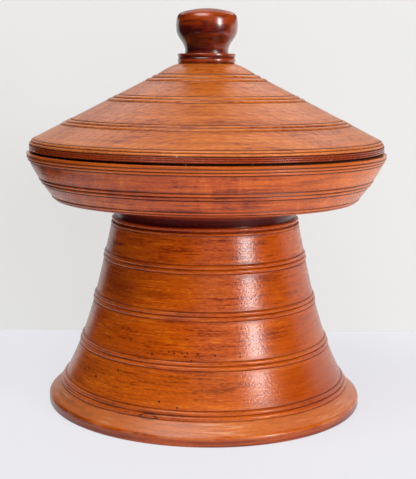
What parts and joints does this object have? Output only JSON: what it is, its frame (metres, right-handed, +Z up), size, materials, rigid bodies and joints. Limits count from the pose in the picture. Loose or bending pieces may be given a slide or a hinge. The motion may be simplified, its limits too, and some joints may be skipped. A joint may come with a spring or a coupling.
{
  "type": "offering box",
  "caption": "Turned wooden covered dish on a flared hollow foot, with beaded bands and a conical knobbed lid that lifts off, for carrying offerings or keeping small things.",
  "frame": {"origin": "centre of the foot's base ring, on the surface that the box stands on", "axes": "+Z up along the turning axis; the front, seen in the picture, faces -Y"},
  "size_m": [0.3, 0.3, 0.3301],
  "materials": {
    "foot_wood": "stained and waxed side grain, satin gloss, dark in the grooves",
    "bowl_wood": "stained and waxed, redder than the foot, dark in the grooves",
    "lid_wood": "stained and waxed, worn paler on the slope, dark at the rim",
    "knob_wood": "dark stain, polished by handling",
    "wedge_wood": "plain split hardwood"
  },
  "bodies": {
    "base": {"foot": "foot_wood", "bowl": "bowl_wood", "bowl_wedge": "wedge_wood"},
    "cover": {"lid": "lid_wood", "knob": "knob_wood", "knob_wedge": "wedge_wood"}
  },
  "joints": [
    {"name": "lid_lift", "type": "slide", "parent": "base", "child": "cover", "axis": [0, 0, 1], "range_m": [0, 0.15]}
  ]
}
